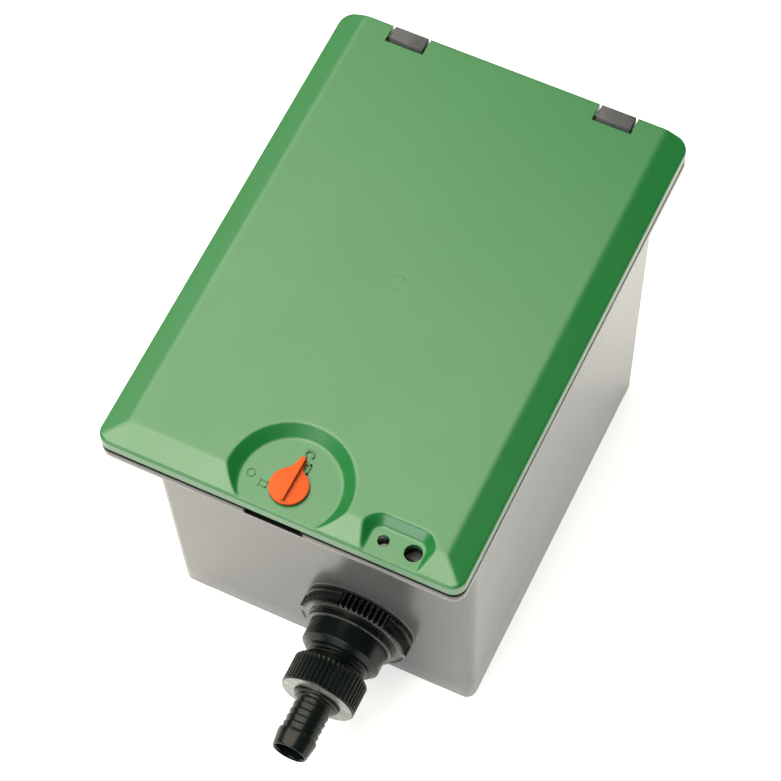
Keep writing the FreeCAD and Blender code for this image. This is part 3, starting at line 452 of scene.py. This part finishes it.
def make_lid():
    wall = 0.08
    stops_x = [edge for cell in CELLS_X for side in cell for edge in (side - wall, side + wall)]
    stops_x += [sign * (HINGE_X + side * NOTCH_HALF) for sign in (-1, 1) for side in (-1, 1)]
    stops_x += [sign * (HALF_X - 7 + shift) for sign in (-1, 1) for shift in (-wall, wall)]
    stops_y = [edge for cell in CELLS_Y for side in cell for edge in (side - wall, side + wall)]
    stops_y += [NOTCH_Y, 119.0 - wall, 119.0 + wall, 7 - HALF_Y - wall, 7 - HALF_Y + wall]
    columns = grid_lines([(-HALF_X, 1.2 - HALF_X, 0.2), (1.2 - HALF_X, -34, 1.2), (-34, 34, 0.7), (34, 45, 1.0),
                          (45, 73, 0.45), (73, HALF_X - 1.2, 1.0), (HALF_X - 1.2, HALF_X, 0.2)], stops_x)
    rows = grid_lines([(-HALF_Y, 1.2 - HALF_Y, 0.2), (1.2 - HALF_Y, -118, 0.45), (-118, -84, 0.7),
                       (-84, -6, 1.6), (-6, 6, 0.5), (6, 119, 1.6), (119, HALF_Y - 1.2, 0.9),
                       (HALF_Y - 1.2, HALF_Y, 0.2)], stops_y)
    flat_x, flat_y = np.meshgrid(columns, rows)
    radius = np.where(flat_y < 0, CORNER_FRONT, CORNER_BACK)
    over = np.clip(np.abs(flat_y) - HALF_Y + radius, 0, radius)
    width = HALF_X - radius + np.sqrt(radius ** 2 - over ** 2)
    fixed = 80.0
    extra = (np.abs(flat_x) - fixed) * (width - fixed) / (HALF_X - fixed)
    x = np.where(np.abs(flat_x) > fixed, np.sign(flat_x) * (fixed + extra), flat_x)
    y = flat_y

    middle_x = (x[:-1, :-1] + x[1:, 1:]) / 2
    middle_y = (y[:-1, :-1] + y[1:, 1:]) / 2
    keep = ~((np.abs(np.abs(middle_x) - HINGE_X) < NOTCH_HALF) & (middle_y > NOTCH_Y))
    for hole_x, hole_y, hole in HOLES:
        inside = np.hypot(middle_x - hole_x, middle_y - hole_y) < hole
        touched = np.zeros_like(x, dtype=bool)
        for shift_y in (0, 1):
            for shift_x in (0, 1):
                touched[shift_y:shift_y + inside.shape[0], shift_x:shift_x + inside.shape[1]] |= inside
        reach = np.hypot(x - hole_x, y - hole_y) + 1e-9
        x = np.where(touched, hole_x + (x - hole_x) * hole / reach, x)
        y = np.where(touched, hole_y + (y - hole_y) * hole / reach, y)
        keep &= ~inside

    top, under = lid_height(x, y), lid_underside(x, y)
    columns_count = x.shape[1]
    points = list(zip(x.ravel(), y.ravel(), top.ravel())) + list(zip(x.ravel(), y.ravel(), under.ravel()))
    base = x.size
    faces, sides = [], {}
    for row, column in zip(*np.nonzero(keep)):
        a = int(row * columns_count + column)
        quad = (a, a + 1, a + 1 + columns_count, a + columns_count)
        faces.append(quad)
        faces.append(tuple(v + base for v in reversed(quad)))
        for start, end in zip(quad, quad[1:] + quad[:1]):
            if (end, start) in sides:
                del sides[(end, start)]
            else:
                sides[(start, end)] = True
    levels = (1.9, 4.0, 6.1)
    rings = {}

    def wall_points(index):
        if index not in rings:
            px, py, _ = points[index]
            rings[index] = []
            for drop in levels:
                rings[index].append(len(points))
                points.append((px, py, LIP_TOP - drop))
        return [index, *rings[index], index + base]

    for start, end in sides:
        near, far = wall_points(start), wall_points(end)
        for k in range(len(near) - 1):
            faces.append((near[k + 1], far[k + 1], far[k], near[k]))
    build("lid_shell", points, faces, "lid", "lid_green", ("lid",), crease=50.0)


# ---------------------------------------------------------------- lock

def make_knob():
    """A disc with a tapering pointer, a thin grip ridge along it and the stem below."""
    low, plate_top = LIP_TOP + 0.95, LIP_TOP + 2.2
    put = upright(0.0, KNOB_Y)
    outline = [(9.65 * math.sin(math.radians(a)), 9.65 * math.cos(math.radians(a))) for a in range(-36, -342, -4)]
    outline = ([(2.2, 12.4), (1.9, 15.2), (1.3, 16.0), (-1.3, 16.0), (-2.0, 15.2), (-2.3, 12.6), (-3.1, 10.6),
                (-4.2, 9.2)] + outline + [(2.5, 10.2)])
    points, faces = prism(outline, low, plate_top, 0.6, lambda u, v, h: (u, KNOB_Y + v, h))
    build("knob_plate", points, faces, "lock", "knob_orange", ("lock_knob",))
    ridge = [(-0.2, -8.6), (1.3, -8.6), (1.5, 2.0), (1.7, 14.6), (1.2, 15.7), (-0.4, 15.7), (-0.9, 14.6), (-0.5, 2.0)]
    points, faces = prism(ridge, low + 0.65, KNOB_HIGH[2], 0.5, lambda u, v, h: (u, KNOB_Y + v, h))
    build("knob_ridge", points, faces, "lock", "knob_orange")
    stem = soften([(1.2, KNOB_LOW[2]), (4.0, KNOB_LOW[2]), (4.0, low + 0.2), (1.2, low + 0.2)], 0.3)
    points, faces = lathe(stem, 48, put)
    build("knob_stem", points, faces, "lock", "knob_orange")


def make_padlock_signs():
    """An open and a closed padlock, moulded as thin raised lines on the recess floor."""
    low = LIP_TOP - 0.1
    signs = (("open", 2.9, -106.6, 3.6, 5.8, 1.2, -99.4, 2.5, -40.0, 250.0, 0.9, 0.9),
             ("closed", -12.0, -121.7, 4.2, 3.4, -19.6, -118.9, 2.2, 90.0, 430.0, 0.45, 0.35))
    for name, x, y, wide, deep, ring_x, ring_y, radius, start, end, line, rise in signs:
        high = LIP_TOP + rise
        for part, (u, v, half_u, half_v) in enumerate((
                (x, y - (deep - line) / 2, wide / 2, line / 2), (x, y + (deep - line) / 2, wide / 2, line / 2),
                (x - (wide - line) / 2, y, line / 2, deep / 2), (x + (wide - line) / 2, y, line / 2, deep / 2))):
            points, faces = block((u - half_u, u + half_u), (v - half_v, v + half_v), (low, high))
            build(f"sign_{name}_side_{part}", points, faces, "lid", "lid_green")
        angles = [math.radians(start + (end - start) * k / 24) for k in range(25)]
        bow = [(ring_x + radius * math.cos(a), ring_y + radius * math.sin(a)) for a in angles]
        bow += [(ring_x + (radius - line) * math.cos(a), ring_y + (radius - line) * math.sin(a))
                for a in reversed(angles)]
        points, faces = prism(bow, low, high, 0.1, lambda u, v, h: (u, v, h))
        build(f"sign_{name}_bow", points, faces, "lid", "lid_green")


# ---------------------------------------------------------------- tub

# The tub's half width, front and back at the floor and at the rim.
PLAN_LOW = (84.9, 102.3, 107.6)
PLAN_HIGH = (88.5, 106.0, 111.3)
BACK_FACE = 109.3
PAD_RADIUS = 31.0


def make_tub():
    """The tub as one lofted shell: outside up to the rim, over it, and down the inside."""
    def plan(level, inset, radius):
        part = level / RIM_TOP
        half, front, back = (low + (high - low) * part - inset for low, high in zip(PLAN_LOW, PLAN_HIGH))
        front = -front
        return rounded_plan(half, front, back, radius, radius)

    def rim(inset):
        return rounded_plan(HALF_X - inset, inset - HALF_Y, HALF_Y - inset, CORNER_FRONT, CORNER_BACK)

    low = RIM_TOP - RIM_THICK
    loops = [(plan(0, 2.0, 4.0), 0.0), (plan(0, 0.9, 4.8), 0.3), (plan(0, 0.2, 5.4), 1.0),
             (plan(2, 0, 5.5), 2.0)]
    loops += [(plan(z, 0, 5.5), float(z)) for z in range(20, 190, 20)]
    loops += [(plan(190, 0, 5.5), low - 4.0), (plan(192, -0.4, 5.5), low - 1.6), (plan(192, -1.6, 5.5), low - 0.4),
              (plan(194, -4.0, 6.5), low), (rim(0.9), low), (rim(0.25), low + 0.25), (rim(0.0), low + 0.9),
              (rim(0.0), RIM_TOP - 0.9), (rim(0.25), RIM_TOP - 0.25), (rim(0.9), RIM_TOP),
              (plan(200, 2.4, 3.1), RIM_TOP), (plan(200, 2.8, 2.7), RIM_TOP - 0.2), (plan(200, 3, 2.5), RIM_TOP - 0.8)]
    loops += [(plan(z, 3, 2.5), float(z)) for z in range(190, 0, -20)]
    loops += [(plan(5, 3, 2.5), 5.0), (plan(3, 3.6, 2.2), 3.6), (plan(3, 5, 2.0), 3.0)]
    points, faces = [], []
    for outline, height in loops:
        points += [(x, y, height) for x, y in outline]
    size = len(loops[0][0])
    for level in range(len(loops) - 1):
        for k in range(size):
            a, b = level * size + k, level * size + (k + 1) % size
            faces.append((a, b, b + size, a + size))
    faces.append(tuple(reversed(range(size))))
    faces.append(tuple(range((len(loops) - 1) * size, len(loops) * size)))
    piece = build("tub_shell", points, faces, "tub", "tub_grey", ("tub",), crease=40.0)
    cutters = [cutter_box((-17.0, 14.0), (-140.0, 9.0 - HALF_Y), (RIM_TOP - 3.3, RIM_TOP + 2)),
               cutter_box((-12.2, 12.2), (KNOB_Y - 4.2, KNOB_Y + 4.2), (low - 2, RIM_TOP + 2)),
               cutter_rod(HOLES[0][:2], 2.9, (low - 2, RIM_TOP + 2), "Z"),
               cutter_rod((PIPE_X, PIPE_Z), 21.6, (-130.0, 130.0), "Y")]
    cutters += [cutter_rod((x, y), 5.0, (-2.0, 8.0), "Z") for x in (-55.0, 60.0) for y in (-75.0, 20.0, 80.0)]
    for cutter in cutters:
        modifier = piece.modifiers.new("opening", "BOOLEAN")
        modifier.object = cutter
        modifier.solver = "EXACT"
    finished = bpy.data.meshes.new_from_object(piece.evaluated_get(bpy.context.evaluated_depsgraph_get()))
    piece.modifiers.clear()
    piece.data = finished
    for cutter in cutters:
        bpy.data.objects.remove(cutter)
    for name, side, edge in (("tub_pad_front", on_pipe, WALL_FACE), ("tub_pad_back", behind, BACK_FACE)):
        ring = soften([(21.6, edge - 5.0), (PAD_RADIUS, edge - 5.0), (PAD_RADIUS, edge), (21.6, edge)], 0.4)
        points, faces = lathe(ring, 128, side)
        build(name, points, faces, "tub", "tub_grey")
    for name, places, side in (("tub_gusset_front", (-62.0, -34.0, 34.0, 80.0), -1),
                               ("tub_gusset_back", (-80.0, 0.0, 80.0), 1)):
        for number, x in enumerate(places):
            wall = 105.4 if side < 0 else 110.7
            outline = [(wall, low + 0.3), (wall, low - 24.0), (HALF_Y - 4.0, low - 2.0), (HALF_Y - 4.0, low + 0.3)]
            points, faces = prism(outline, x, x + 2.4, 0.4, lambda u, v, h, s=side: (h, s * u, v))
            build(f"{name}_{number}", points, faces, "tub", "tub_grey")
    for number, y in enumerate((-20.0, 20.0)):
        outline = [(-86.0, y - 4.0), (-80.0, y - 4.0), (-80.0, y + 4.0), (-86.0, y + 4.0)]
        points, faces = prism(outline, 95.0, 160.0, 0.5, lambda u, v, h: (u, v, h))
        build(f"tub_rail_{number}", points, faces, "tub", "tub_grey")


def block(x, y, z):
    """The points and faces of a block between two limits on each axis."""
    points = [(a, b, c) for c in z for b in y for a in x]
    return points, [(0, 2, 3, 1), (4, 5, 7, 6), (0, 1, 5, 4), (2, 6, 7, 3), (0, 4, 6, 2), (1, 3, 7, 5)]


def cutter_box(x, y, z):
    """A throwaway block used to cut an opening."""
    return cutter("cut_block", *block(x, y, z))


def cutter_rod(centre, radius, span_along, axis):
    """A throwaway rod used to cut a round opening along Y or Z."""
    count = 64
    points = []
    for end in span_along:
        for k in range(count):
            u = centre[0] + radius * math.cos(2 * math.pi * k / count)
            v = centre[1] + radius * math.sin(2 * math.pi * k / count)
            points.append((u, v, end) if axis == "Z" else (u, end, v))
    faces = [(k, (k + 1) % count, count + (k + 1) % count, count + k) for k in range(count)]
    faces += [tuple(range(count)), tuple(range(count, 2 * count))]
    return cutter("cut_rod", points, faces)


def cutter(name, points, faces):
    mesh = bpy.data.meshes.new(name)
    mesh.from_pydata([tuple(c * MM for c in p) for p in points], [], faces)
    bm = bmesh.new()
    bm.from_mesh(mesh)
    bmesh.ops.recalc_face_normals(bm, faces=bm.faces)
    bm.to_mesh(mesh)
    bm.free()
    item = bpy.data.objects.new(name, mesh)
    bpy.context.scene.collection.objects.link(item)
    return item


def make_hinges():
    """Square hinge blocks with one chamfered edge, standing in the lid's two notches."""
    reach, axis_y, axis_z = 4.9, 129.4, 209.5
    near, top = axis_y - reach, axis_z + reach
    for side, x in (("left", -HINGE_X), ("right", HINGE_X)):
        outline = [(HALF_Y, RIM_TOP), (HALF_Y, top - 0.4), (HALF_Y - 0.4, top), (near + 1.6, top),
                   (near, top - 1.6), (near, RIM_TOP)]
        levels = [(-9.35, 0.5), (-9.1, 0.15), (-8.8, 0.0), (8.8, 0.0), (9.1, 0.15), (9.35, 0.5)]
        points, faces = [], []
        size = len(outline)
        for shift, inset in levels:
            points += [(x + shift, u, v) for u, v in inset_outline(outline, inset)]
        for level in range(len(levels) - 1):
            for k in range(size):
                a, b = level * size + k, level * size + (k + 1) % size
                faces.append((a, b, b + size, a + size))
        faces += [tuple(range(size)), tuple(range(size * (len(levels) - 1), size * len(levels)))]
        build(f"hinge_block_shell_{side}", points, faces, "tub", "hinge_grey", (f"hinge_block_{side}",))


# ---------------------------------------------------------------- outlet fittings

def turned_black(name, ends=0.0):
    """The black plastic of the turned fittings, with painted highlights on its edges and, if asked, a painted
    reflection that makes its front faces paler.
    """
    return plastic(name, BLACK, 0.26, 500.0, 0.06, 0.25, 0.6, gloss=0.18, ends=ends)


PITCH = 2.309
THREAD = 16.62
SHANK = 21.5


def threaded(start, end, hand=1):
    """A change to a lathe that cuts a helical thread between two distances."""
    def change(radius, distance, angle):
        if radius < THREAD - 0.5 or not start < distance < end:
            return radius
        fade = min(1.0, (distance - start) / 1.2, (end - distance) / 1.0)
        groove = trapezoid(distance / PITCH - hand * angle / (2 * math.pi), 0.25)
        return radius - 1.25 * groove * max(0.0, fade)
    return change


def make_sleeve():
    inner = WALL_FACE - 5.0
    outline = [(13.1, 80.0), (17.0, 80.0), (17.0, inner - 3.5), (28.0, inner - 3.5), (28.0, inner),
               (SHANK, inner), (SHANK, 127.3), (18.4, 130.0), (THREAD, 130.4), (THREAD, 147.5),
               (11.5, 147.5), (11.5, 128.0), (13.1, 128.0)]
    profile = divide(soften(outline, 0.5), 0.25)
    points, faces = lathe(profile, 160, on_pipe, threaded(130.2, 147.3))
    build("outlet_sleeve_body", points, faces, "tub", "black_plastic", ("outlet_sleeve",), crease=60.0,
          finish=turned_black("black_plastic_sleeve"))


def make_lock_ring():
    face = WALL_FACE + 1.5
    outer, step = 29.2, 24.4
    outline = [(SHANK + 0.08, face), (30.1, face), (30.1, face + 1.3), (outer, face + 1.6), (outer, face + 7.4),
               (step, face + 7.4), (step, face + 8.4), (23.2, face + 8.9), (23.2, face + 9.7),
               (24.2, face + 10.3), (24.2, face + 11.7), (SHANK + 0.08, face + 11.7)]
    profile = divide(soften(outline, 0.25), 0.8)
    coarse_from, coarse_to, coarse_pitch = 50.0, 104.0, 6.0

    def teeth(radius, distance, angle):
        turn = math.degrees(angle) % 360
        along = distance - face
        if radius < step + 0.1:
            return radius
        if coarse_from < turn < coarse_to:
            gap = trapezoid((turn - coarse_from) / coarse_pitch, 0.4)
            if along < 1.4:
                return radius if radius < 27.0 else 27.0 + (radius - 27.0) * (1 - 0.9 * gap)
            tip = 29.9 - 3.5 * gap
        elif along < 1.4:
            return radius
        else:
            lobe = max(0.0, *(1 - abs((turn - middle + 180) % 360 - 180) / 7 for middle in (173, 353)))
            comb = trapezoid(turn / 3.4, 0.4) * min(1.0, max(0.12, (along - 4.8) * 2))
            tip = outer + 0.9 * min(1.0, lobe * 2) - 2.6 * comb * (1 - min(1.0, lobe * 2))
        return step + (radius - step) * (tip - step) / (outer - step)

    points, faces = lathe(profile, 900, on_pipe, teeth)
    build("lock_ring_toothed", points, faces, "lock_ring", "black_plastic", ("lock_ring",), crease=40.0,
          finish=turned_black("black_plastic_ring", 0.5))


def make_hose_nut():
    near, far = -NUT_HIGH[1], -NUT_LOW[1]
    bore = THREAD + 0.08
    outline = [(bore, near), (19.3, near), (20.2, near + 1.0), (20.2, far - 0.5), (19.7, far), (12.68, far),
               (12.68, far - 2.5), (bore, far - 2.5)]
    profile = divide(soften(outline, 0.25), 1.2)

    def ribs(radius, distance, angle):
        if radius < 19.9 or not near + 1.2 < distance < far - 0.7:
            return radius
        return radius - 0.62 * trapezoid(angle * 48 / (2 * math.pi), 0.45)

    points, faces = lathe(profile, 768, on_pipe, ribs)
    build("hose_nut_ribbed", points, faces, "hose_nut", "black_plastic", ("hose_nut",), crease=45.0,
          finish=turned_black("black_plastic_nut", 0.9))


def make_hose_tail():
    outline = [(8.0, 149.0), (15.6, 149.0), (15.6, 151.2), (12.6, 151.2), (12.6, 155.2), (11.4, 155.8),
               (11.2, 157.0), (9.7, 157.5), (9.3, 160.0)]
    for i in range(4):
        step = 160.6 + 3.75 * i
        outline += [(9.95, step), (9.3, step + 2.7), (9.25, step + 3.1)]
    outline += [(9.3, 175.0), (10.6, 175.4), (10.6, 177.4), (9.5, 184.7), (9.2, 185.2), (8.7, 185.2), (8.0, 184.0)]
    points, faces = lathe(soften(outline, 0.3), 128, on_pipe)
    build("hose_tail_barbed", points, faces, "tub", "black_plastic", ("hose_tail",), crease=60.0,
          finish=turned_black("black_plastic_tail"))


def make_inlet():
    inner = BACK_FACE - 5.0
    outline = [(9.5, 72.5), (15.6, 72.5), (15.6, 75.5), (12.9, 75.5), (12.9, inner - 6.5), (28.0, inner - 5.0),
               (28.0, inner - 1.5), (SHANK, inner - 1.5), (SHANK, 119.0), (THREAD, 119.4), (THREAD, 134.5),
               (12.0, 134.5), (12.0, 100.0), (9.5, 97.5)]
    profile = divide(soften(outline, 0.4), 0.25)
    points, faces = lathe(profile, 160, behind, threaded(119.3, 134.3, -1))
    build("inlet_pipe_body", points, faces, "tub", "black_plastic", ("inlet_pipe",), crease=60.0)


# ---------------------------------------------------------------- springs and lead

def make_springs():
    """Coil springs, each wound between the ends of its CAD node."""
    for name, joint, wire, turns, travel in (("diaphragm_spring", "diaphragm_lift", 0.7, 5, 5.0),
                                             ("plunger_spring", "plunger_lift", 0.3, 7, 1.5)):
        low, high = span(name)
        x, y = (low[0] + high[0]) / 2, (low[1] + high[1]) / 2
        radius = (high[0] - low[0]) / 2 - wire
        steps, around = 48 * turns, 14
        points, faces = [], []
        for i in range(steps + 1):
            angle = 2 * math.pi * turns * i / steps
            height = low[2] + wire + (high[2] - low[2] - 2 * wire) * i / steps
            for k in range(around):
                roll = 2 * math.pi * k / around
                reach = radius + wire * math.cos(roll)
                points.append((x + reach * math.cos(angle), y + reach * math.sin(angle),
                               height + wire * math.sin(roll)))
        for i in range(steps):
            for k in range(around):
                a, b = i * around + k, i * around + (k + 1) % around
                faces.append((a, b, b + around, a + around))
        faces += [tuple(range(around)), tuple(range(steps * around, (steps + 1) * around))]
        piece = build(f"{name}_coil", points, faces, "tub", "steel", (name,), crease=60.0)
        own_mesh(piece)


# The lead's route, repeated in metres from the CAD source.
LEAD_RADIUS, LEAD_LENGTH = 0.0021, 0.0405
LEAD_ROUTE = ((-0.031, 0.017, 0.118), (-0.017, 0.017, 0.118), (-0.006, 0.017, 0.127), (0.0074, 0.017, 0.127))


def make_lead():
    """The solenoid's two-core lead, from the module's gland to the solenoid's side."""
    curve = bpy.data.curves.new("solenoid_lead", "CURVE")
    curve.dimensions = "3D"
    curve.resolution_u = 24
    curve.bevel_depth = LEAD_RADIUS
    curve.bevel_resolution = 6
    curve.use_fill_caps = True
    spline = curve.splines.new("NURBS")
    spline.points.add(len(LEAD_ROUTE) - 1)
    for point, place in zip(spline.points, LEAD_ROUTE):
        point.co = (*place, 1.0)
    spline.order_u = 3
    spline.use_endpoint_u = True
    curve.materials.append(FINISH["cable_black"])
    piece = bpy.data.objects.new("solenoid_lead", curve)
    bpy.context.scene.collection.objects.link(piece)
    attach(piece, "tub")
    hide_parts("solenoid_cable")


# ---------------------------------------------------------------- everything else

def finish_cad_nodes():
    """Give every CAD node that stays its procedural finish."""
    slots = {part["node"]: part["material_slot"] for part in frame["record"]["subparts"]}
    for name, piece in frame["nodes"].items():
        piece.data.materials.clear()
        piece.data.materials.append(FINISH[slots[name]])


# The overhead boxes give the lid its haze, the strip lights forward faces and the floor lights the walls.
LIGHTS = (
    ("softbox", (-0.33, 0.10, 0.90), 2.0, (1.85, 3.0), 5.7, (1.0, 0.95, 0.80)),
    ("front_box", (-0.26, -0.42, 0.88), 1.8, (0.8, 0.6), 10.5, (1.0, 0.95, 0.80)),
    ("front_strip", (-0.20, -0.90, 0.34), 2.0, (1.2, 0.6), 8.0, (1.0, 1.0, 1.0)),
)
FLOOR_GLOW = 0.5
FLOOR_GLOW_RIGHT = 1.2
DIM_GLOW = 0.08
RIGHT_GLOW = 0.30


def make_studio():
    """A pale lit floor, three soft boxes and a dim surround that is brighter at the right."""
    mesh = bpy.data.meshes.new("studio_floor")
    reach = 6.0
    mesh.from_pydata([(-reach, -reach, 0), (reach, -reach, 0), (reach, reach, 0), (-reach, reach, 0)], [],
                     [(0, 1, 2, 3)])
    floor = bpy.data.objects.new("studio_floor", mesh)
    floor.location.z = -0.0002
    mesh.materials.append(floor_finish())
    bpy.context.scene.collection.objects.link(floor)
    aim = Vector((0.0, 0.0, 0.15))
    for name, direction, distance, size, radiance, tint in LIGHTS:
        light = bpy.data.lights.new(name, "AREA")
        light.shape = "RECTANGLE"
        light.size, light.size_y = size
        light.energy = radiance * math.pi * size[0] * size[1]
        light.color = tint
        lamp = bpy.data.objects.new(name, light)
        lamp.location = aim + Vector(direction).normalized() * distance
        lamp.rotation_euler = Vector(direction).to_track_quat("Z", "Y").to_euler()
        bpy.context.scene.collection.objects.link(lamp)
    world = bpy.data.worlds.new("surround")
    world.use_nodes = True
    tree = world.node_tree
    place = tree.nodes.new("ShaderNodeTexCoord")
    parts = tree.nodes.new("ShaderNodeSeparateXYZ")
    tree.links.new(place.outputs["Generated"], parts.inputs[0])
    glow = tree.nodes.new("ShaderNodeMath")
    glow.operation = "MULTIPLY"
    for slot, (axis, near, far, low, high) in enumerate((("Z", 0.0, 0.5, 1.0, 0.0), ("X", -0.2, 0.7, 0.0, 1.0))):
        fade = tree.nodes.new("ShaderNodeMapRange")
        fade.inputs["From Min"].default_value = near
        fade.inputs["From Max"].default_value = far
        fade.inputs["To Min"].default_value = low
        fade.inputs["To Max"].default_value = high
        tree.links.new(parts.outputs[axis], fade.inputs["Value"])
        tree.links.new(fade.outputs[0], glow.inputs[slot])
    total = tree.nodes.new("ShaderNodeMath")
    total.operation = "MULTIPLY_ADD"
    total.inputs[1].default_value = RIGHT_GLOW
    total.inputs[2].default_value = DIM_GLOW
    tree.links.new(glow.outputs[0], total.inputs[0])
    tree.links.new(total.outputs[0], tree.nodes["Background"].inputs["Strength"])
    bpy.context.scene.world = world
    bpy.context.scene.view_settings.view_transform = "Standard"


def make_camera():
    """A long lens from the front right and above."""
    camera = bpy.data.cameras.new("camera")
    camera.lens = 136.79
    camera.sensor_width = 36.0
    camera.clip_start = 0.1
    camera.clip_end = 20.0
    holder = bpy.data.objects.new("camera", camera)
    holder.location = (0.33885, -0.63202, 1.44359)
    holder.rotation_euler = [math.radians(a) for a in (28.1326, 1.6478, 25.7047)]
    bpy.context.scene.collection.objects.link(holder)
    bpy.context.scene.camera = holder


finish_cad_nodes()
make_camera()
make_lead()
make_studio()
make_lid()
make_knob()
make_padlock_signs()
make_tub()
make_hinges()
make_sleeve()
make_lock_ring()
make_hose_nut()
make_hose_tail()
make_inlet()
make_springs()
